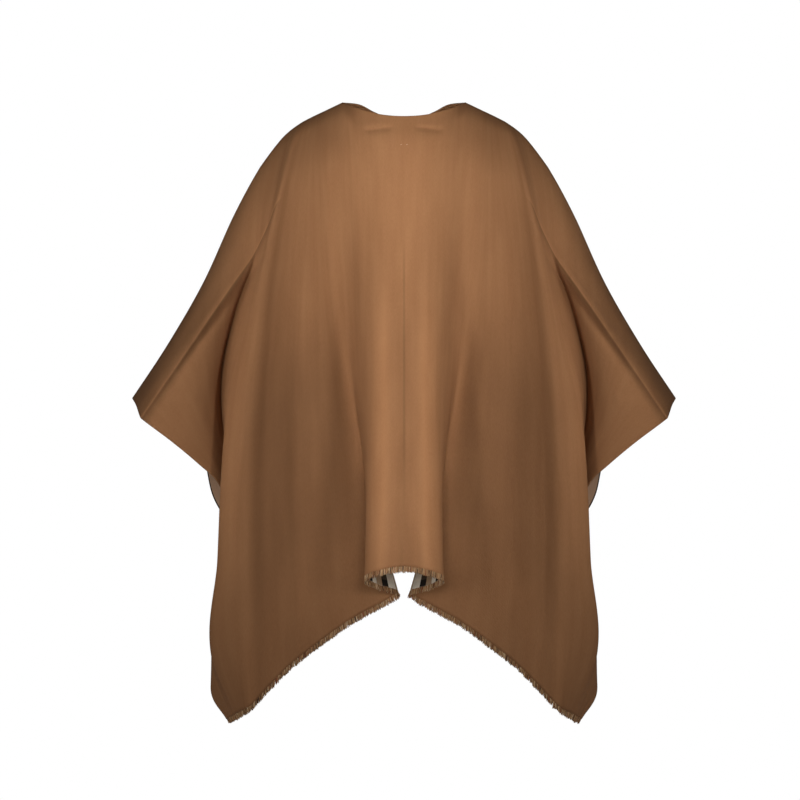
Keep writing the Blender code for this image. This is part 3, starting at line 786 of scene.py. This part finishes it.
def painted_light_group():
    """Painted light and shade on the brushed face: 1 on plain cloth, more for a painted highlight, less for
    painted shade in a tuck.

    A painted line of highlight and shade runs along each sleeve crease, CREASE_CLOTH down the cloth and from
    CREASE_START outwards, and one of painted shade down the middle.  Painted shade also darkens the panels
    beside the middle fold and the sleeve above its crease, and a painted highlight lightens either side of
    the middle.
    """
    group, given, made = new_group(
        "painted_light_and_shade",
        [("Cloth", "NodeSocketVector", (0, 0, 0))],
        [("Tone", "NodeSocketFloat")],
    )
    u, v = axes_of(group, given.outputs["Cloth"])
    aside = calc(group, "ABSOLUTE", u)
    down = calc(group, "ABSOLUTE", v)

    def profile(value, low, high, *stops):
        """A tone that eases from stop to stop, each a share of the way from low to high and its tone."""
        greys = [(place, (tone, tone, tone, 1)) for place, tone in stops]
        return ramp_of(group, map_range(group, value, (low, high)), "EASE", greys)

    def eased(value, low, high):
        return profile(value, low, high, (0.0, 0.0), (1.0, 1.0))

    def product(one, two):
        return calc(group, "MULTIPLY", one, two)

    def less(one, two):
        return calc(group, "SUBTRACT", one, two)

    def total(one, two):
        return calc(group, "ADD", one, two)

    # Painted highlight above and painted shade below the sleeve crease, and painted shade down the middle
    # line with a faint highlight beside it, as more or less than a plain 0.5.
    crease = profile(
        down,
        CREASE_CLOTH - 0.012,
        CREASE_CLOTH + 0.020,
        *((0.0, 0.5), (0.25, 0.60), (0.34, 0.78), (0.39, 0.5), (0.44, 0.22), (0.62, 0.38), (1.0, 0.5)),
    )
    middle = profile(aside, 0.0, 0.012, (0.0, 0.30), (0.12, 0.36), (0.3, 0.54), (1.0, 0.5))
    on_sleeve = eased(aside, CREASE_START, CREASE_START + 0.04)
    half_way = product(eased(down, 0.20, 0.30), less(1.0, eased(down, 0.5, 0.75)))
    lines = total(product(less(crease, 0.5), on_sleeve), product(less(middle, 0.5), half_way))

    # How much painted shade darkens the cloth.  On the lobe it is taken from 0.2, so its shoulders get a
    # painted highlight.
    panels = profile(aside, 0.17, 0.43, (0.0, 0.0), (0.15, 0.25), (0.55, 0.25), (0.75, 0.16), (1.0, 0.0))
    below_crease = less(eased(down, 0.28, 0.46), product(eased(down, 0.62, 0.74), 0.8))
    # Painted shade on the sleeve above its crease.
    sleeve = product(eased(aside, 0.50, 0.62), 0.32)
    above_crease = less(1.0, eased(down, CREASE_CLOTH - 0.01, CREASE_CLOTH + 0.03))
    # Painted shade down the lobe's middle and a painted highlight on its shoulders.
    lobe = profile(aside, 0.0, 0.08, (0.0, 0.32), (0.25, 0.24), (0.5, 0.0), (0.7, 0.0), (1.0, 0.20))
    low_lobe = product(less(lobe, 0.20), eased(down, 0.26, 0.46))
    darker = total(total(product(panels, below_crease), product(sleeve, above_crease)), low_lobe)
    group.links.new(product(total(1.0, lines), less(1.0, darker)), made.inputs["Tone"])
    return group


def windowpane_group():
    """A plain shadowed windowpane on cloth coordinates.

    A charcoal and a cream band lie side by side in each repeat, the warp's by u and the weft's by v.  The
    warp lies uppermost, so the weft only tints it.  A border with a dark edge lies along each selvedge.
    """
    group, given, made = new_group(
        "windowpane",
        [("Cloth", "NodeSocketVector", (0, 0, 0)), ("Repeat", "NodeSocketFloat", 0.036)],
        [("Color", "NodeSocketColor")],
    )
    u, v = axes_of(group, given.outputs["Cloth"])
    aside = calc(group, "ABSOLUTE", u)
    down = calc(group, "ABSOLUTE", v)

    def bands(distance, start):
        """The bands along one axis; start is the share of a repeat at the middle of the cloth."""
        repeats = calc(group, "DIVIDE", distance, given.outputs["Repeat"])
        share = calc(group, "FRACT", calc(group, "ADD", repeats, start))
        stops = ((0.0, CHECK_GROUND), (0.22, CHARCOAL), (0.50, CREAM), (0.86, CHECK_GROUND))
        return ramp_of(group, share, "CONSTANT", stops)

    checked = blend_colours(group, 0.12, bands(aside, 0.16), bands(down, 0.31))
    in_border = calc(group, "GREATER_THAN", aside, HALF_WIDTH - SELVEDGE_BORDER)
    in_edge = calc(group, "GREATER_THAN", aside, HALF_WIDTH - SELVEDGE_EDGE)
    bordered = blend_colours(group, in_border, checked, BORDER_GROUND)
    group.links.new(blend_colours(group, in_edge, bordered, BORDER_EDGE), made.inputs["Color"])
    return group


def wool_look(name, twill, tones, sheen, bump, checked=None, painted_light=None, rolled=False):
    """Brushed wool: the tone goes from dark to light by the nap and the cloud, or follows the check.

    A rolled reverse shows the plain tone along the neck edge: NECK_ROLL down the cloth, from the middle out
    to NECK_CLOTH.
    """
    look, tree, shader = new_look(
        name,
        {
            "Roughness": 0.88,
            "Specular IOR Level": 0.12,
            "Sheen Weight": sheen,
            "Sheen Roughness": 0.45,
            "Sheen Tint": (0.95, 0.72, 0.52, 1),
        },
    )
    link = tree.links.new
    cloth = node(tree, "ShaderNodeUVMap", uv_map="cloth").outputs[0]
    weave = node(tree, "ShaderNodeGroup", node_tree=twill)
    link(cloth, weave.inputs["Cloth"])
    nap = calc(tree, "MULTIPLY", weave.outputs["Nap"], NAP_SHARE)
    cloud = calc(tree, "MULTIPLY", weave.outputs["Cloud"], CLOUD_SHARE)
    tone = map_range(tree, calc(tree, "ADD", nap, cloud), NOISE_RANGE)
    colour = blend_colours(tree, tone, *tones)
    if checked:
        plain = colour
        pane = node(tree, "ShaderNodeGroup", node_tree=checked)
        link(cloth, pane.inputs["Cloth"])
        fade = map_range(tree, tone, made=CHECK_FADE)
        colour = blend_colours(tree, 1.0, pane.outputs[0], fade, "MULTIPLY")
        if rolled:
            u, v = axes_of(tree, cloth)
            near_edge = calc(tree, "LESS_THAN", calc(tree, "ABSOLUTE", v), NECK_ROLL)
            near_neck = calc(tree, "LESS_THAN", calc(tree, "ABSOLUTE", u), NECK_CLOTH)
            colour = blend_colours(tree, calc(tree, "MULTIPLY", near_edge, near_neck), colour, plain)
    # The face colour is multiplied by painted light and shade along its creases, folds and panels.
    if painted_light:
        lines = node(tree, "ShaderNodeGroup", node_tree=painted_light)
        link(cloth, lines.inputs["Cloth"])
        colour = blend_colours(tree, 1.0, colour, lines.outputs["Tone"], "MULTIPLY")
    link(colour, shader.inputs["Base Color"])
    lift = node(tree, "ShaderNodeBump")
    lift.inputs["Strength"].default_value = bump
    lift.inputs["Distance"].default_value = BUMP_DEPTH
    link(weave.outputs["Height"], lift.inputs["Height"])
    link(lift.outputs[0], shader.inputs["Normal"])
    return look


def thread_look(name):
    """Loose wool threads in the tones of both faces, picked by each thread's own value."""
    look, tree, shader = new_look(
        name,
        {
            "Roughness": 0.9,
            "Specular IOR Level": 0.2,
            "Sheen Weight": 0.25,
            "Sheen Tint": (0.95, 0.75, 0.55, 1),
        },
    )
    value = node(tree, "ShaderNodeAttribute", attribute_name="thread_tone")
    stops = (
        (0.0, (0.34, 0.185, 0.085, 1)),
        (0.32, (0.22, 0.108, 0.045, 1)),
        (0.54, (0.44, 0.26, 0.125, 1)),
        (0.72, (0.13, 0.062, 0.027, 1)),
        (0.80, (0.60, 0.42, 0.25, 1)),
        (0.89, (0.26, 0.075, 0.03, 1)),
        (0.95, (0.05, 0.03, 0.02, 1)),
    )
    tree.links.new(ramp_of(tree, value.outputs["Fac"], "CONSTANT", stops), shader.inputs["Base Color"])
    return look


def plain_thread_look(name, colour):
    """Sewing thread with a fine twist across it, on object coordinates."""
    look, tree, shader = new_look(name, {"Roughness": 0.7})
    place = node(tree, "ShaderNodeTexCoord")
    noise = node(tree, "ShaderNodeTexNoise")
    noise.inputs["Scale"].default_value = 2500.0
    tree.links.new(place.outputs["Object"], noise.inputs["Vector"])
    dark = tuple(0.7 * c for c in colour[:3]) + (1,)
    tree.links.new(blend_colours(tree, noise.outputs["Fac"], dark, colour), shader.inputs["Base Color"])
    return look


# ---------------------------------------------------------------- the cape

twill = brushed_wool_group()
painted_light = painted_light_group()
pane = windowpane_group()
camel = (CAMEL_DARK, CAMEL_LIGHT)
# The face carries its own camel tone plus painted light and shade.
face_look = wool_look("camel_face_painted_light", twill, camel, 0.0, 0.45, painted_light=painted_light)
reverse_look = wool_look("checked_reverse", twill, camel, 0.0, 0.35, pane)
rolled_look = wool_look("rolled_edge_reverse", twill, camel, 0.0, 0.35, pane, rolled=True)
rim_look = wool_look("cut_edge", twill, (EDGE_DARK, EDGE_LIGHT), 0.2, 0.4)
loose_look = thread_look("loose_threads")
sewing_look = plain_thread_look("sewing_thread", SEWING_THREAD)
pale_look = plain_thread_look("pale_thread", PALE_THREAD)
looks = (face_look, reverse_look, rim_look)
front_looks = (face_look, rolled_look, rim_look)

back_t = rows_down(BACK, BACK_ROWS)
front_t = rows_down(FRONT, FRONT_ROWS)


def half_back(side, seed):
    """One half of the back as (columns, rows, (out, deep, down)), with its cloth coordinates."""
    net = surface(BACK, back_t)
    u, v = cloth_coordinates(net, back_t, BACK_LENGTH)
    lay_creases(net, BACK_CREASES, side)
    net[..., 1] += soft_waves(u, v, seed, UNEVEN) * smooth_step(np.clip(u / UNEVEN_ASIDE, 0, 1))
    return net, np.stack([u, v], axis=-1)


left_net, left_uv = half_back("left", 11)
right_net, right_uv = half_back("right", 12)
back_points = np.concatenate([right_net[::-1] * (CM, -CM, -CM), left_net[1:] * (-CM, -CM, -CM)])
back_uv = np.concatenate([right_uv[::-1], left_uv[1:] * (-1, 1)])
back_cloth = cloth_piece("back_cloth", back_points, back_uv, False, looks)
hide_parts("back_panel")
back_fringe = fringe_piece("back_fringe", back_points, 1, 21, loose_look)
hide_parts("fringe_back")

front_ends = {}
tack_row = int(np.argmin(np.abs(front_t * FRONT_LENGTH - TACK_CLOTH)))
for side, turn, seed in (("left", -1, 13), ("right", 1, 14)):
    net = surface(FRONT, front_t)
    u, v = cloth_coordinates(net, front_t, FRONT_LENGTH)
    lay_creases(net, FRONT_CREASES, side)
    net[..., 1] += soft_waves(u, v, seed, UNEVEN)
    points = net * (turn * CM, CM, -CM)
    uv = np.stack([u * turn, -v], axis=-1)
    cloth = cloth_piece(f"front_cloth_{side}", points, uv, turn < 0, front_looks)
    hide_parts(f"front_{side}")
    fringe = fringe_piece(f"front_fringe_{side}", points, turn, seed + 10, loose_look)
    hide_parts(f"fringe_front_{side}")
    front_ends[side] = points[-1, tack_row]

back_row = int(np.argmin(np.abs(back_t * BACK_LENGTH - TACK_CLOTH)))
for side, back_end in (("left", back_points[-1, back_row]), ("right", back_points[0, back_row])):
    bar = twisted_bar(f"side_bar_{side}", back_end, front_ends[side], sewing_look)
    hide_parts(f"side_tack_{side}")

small_stitches("neck_stitches", back_points, NECK_STITCHES, pale_look)

# ---------------------------------------------------------------- studio

floor_mesh = bpy.data.meshes.new("floor")
spokes = np.arange(FLOOR_SIDES) * 2 * np.pi / FLOOR_SIDES
level = np.full(FLOOR_SIDES, -FLOOR_DOWN)
rim = np.stack([FLOOR_RADIUS * np.cos(spokes), FLOOR_RADIUS * np.sin(spokes), level], axis=-1)
floor_mesh.from_pydata(rim.tolist(), [], [list(range(FLOOR_SIDES))])
floor = bpy.data.objects.new("floor", floor_mesh)
bpy.context.scene.collection.objects.link(floor)
pale = new_look("pale_floor", {"Base Color": (0.85, 0.85, 0.85, 1), "Roughness": 0.9})[0]
floor_mesh.materials.append(pale)

# The world is white to the camera and lights the cape only faintly.
world = bpy.data.worlds.new("studio")
world.use_nodes = True
bpy.context.scene.world = world
sky = world.node_tree
background = sky.nodes["Background"]
seen = node(sky, "ShaderNodeLightPath")
strength = map_range(sky, seen.outputs["Is Camera Ray"], made=ROOM_LIGHT)
sky.links.new(strength, background.inputs["Strength"])
background.inputs["Color"].default_value = (1, 1, 1, 1)

# The back is lit from above and along the middle.  On each side are one light across the body, one along
# the fold beside the sleeve and one for the open front.
StripLight = namedtuple("StripLight", "name place aim width height power spread")
MIDDLE_LIGHTS = (
    StripLight("upper", (0.0, -0.62, 0.02), (0.0, 0.0, -0.15), 0.6, 0.14, 0.26, 74.0),
    StripLight("middle", (0.0, -0.60, -0.24), (0.0, 0.0, -0.28), 0.14, 1.05, 0.42, 42.0),
)
SIDE_LIGHTS = (
    StripLight("wing", (0.62, -0.78, -0.50), (0.2, 0.0, -0.41), 0.16, 0.64, 3.0, 180.0),
    StripLight("edge", (0.82, -0.62, -0.44), (0.235, -0.09, -0.42), 0.12, 0.7, 0.12, 26.0),
    StripLight("fore", (0.3, 1.5, -0.9), (0.0, 0.0, -0.6), 0.5, 0.7, 11.0, 180.0),
)


def light_up(strip, name, turn=1):
    """An upright area light turned to face its aim, mirrored if turn is -1, and unseen by the camera."""
    place, aim = (Vector((turn * point[0],) + point[1:]) for point in (strip.place, strip.aim))
    lamp = bpy.data.lights.new(name, "AREA")
    lamp.shape = "RECTANGLE"
    lamp.size = strip.width
    lamp.size_y = strip.height
    lamp.energy = strip.power
    lamp.spread = math.radians(strip.spread)
    holder = bpy.data.objects.new(name, lamp)
    holder.location = place
    holder.rotation_euler = (aim - place).to_track_quat("-Z", "Y").to_euler()
    holder.visible_camera = False
    bpy.context.scene.collection.objects.link(holder)


for strip in MIDDLE_LIGHTS:
    light_up(strip, strip.name)
for side, turn in (("left", -1), ("right", 1)):
    for strip in SIDE_LIGHTS:
        light_up(strip, f"{strip.name}_{side}", turn)

lens = bpy.data.cameras.new("camera")
lens.sensor_width = SENSOR
lens.lens = SENSOR * CAMERA_FAR / CAMERA_ACROSS
camera = bpy.data.objects.new("camera", lens)
camera.location = (CAMERA_AIM[0], CAMERA_AIM[1] - CAMERA_FAR, CAMERA_AIM[2])
camera.rotation_euler = (math.pi / 2, 0.0, 0.0)
bpy.context.scene.collection.objects.link(camera)
bpy.context.scene.camera = camera
bpy.context.scene.view_settings.view_transform = "Standard"
